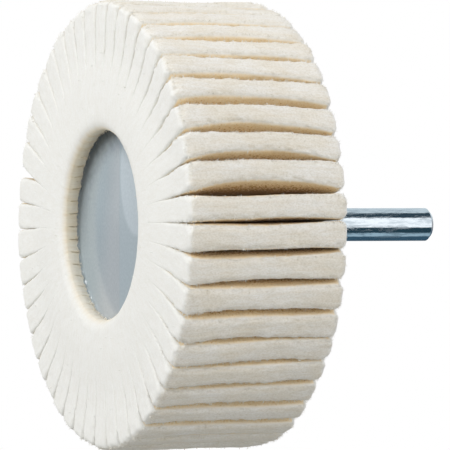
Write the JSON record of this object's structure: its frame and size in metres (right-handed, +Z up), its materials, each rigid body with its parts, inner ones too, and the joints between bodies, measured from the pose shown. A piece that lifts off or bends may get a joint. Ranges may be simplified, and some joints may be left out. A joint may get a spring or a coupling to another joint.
{
  "type": "felt polishing wheel",
  "caption": "Polishing wheel of radial wool felt flaps set round a cast resin core, with a recessed hub and a plain round steel shank for a drill, flexible shaft or straight grinder.",
  "frame": {"origin": "on the shank's axis, where the shank leaves the rear face of the resin core", "axes": "+Y along the shank and the axis of spin, away from the wheel; the open recessed front of the wheel faces -Y; +Z up with the shank level"},
  "size_m": [0.08, 0.065, 0.08],
  "materials": {
    "felt": "dense off-white wool felt, cut edges slightly fuzzy",
    "resin": "cast grey epoxy resin, semi-gloss",
    "steel": "ground and polished steel"
  },
  "bodies": {
    "root": {"flap_01": "felt", "flap_02": "felt", "flap_03": "felt", "flap_04": "felt", "flap_05": "felt", "flap_06": "felt", "flap_07": "felt", "flap_08": "felt", "flap_09": "felt", "flap_10": "felt", "flap_11": "felt", "flap_12": "felt", "flap_13": "felt", "flap_14": "felt", "flap_15": "felt", "flap_16": "felt", "flap_17": "felt", "flap_18": "felt", "flap_19": "felt", "flap_20": "felt", "flap_21": "felt", "flap_22": "felt", "flap_23": "felt", "flap_24": "felt", "flap_25": "felt", "flap_26": "felt", "flap_27": "felt", "flap_28": "felt", "flap_29": "felt", "flap_30": "felt", "flap_31": "felt", "flap_32": "felt", "flap_33": "felt", "flap_34": "felt", "flap_35": "felt", "flap_36": "felt", "flap_37": "felt", "flap_38": "felt", "flap_39": "felt", "flap_40": "felt", "flap_41": "felt", "flap_42": "felt", "flap_43": "felt", "flap_44": "felt", "flap_45": "felt", "flap_46": "felt", "resin_core": "resin", "shank": "steel"}
  },
  "joints": []
}
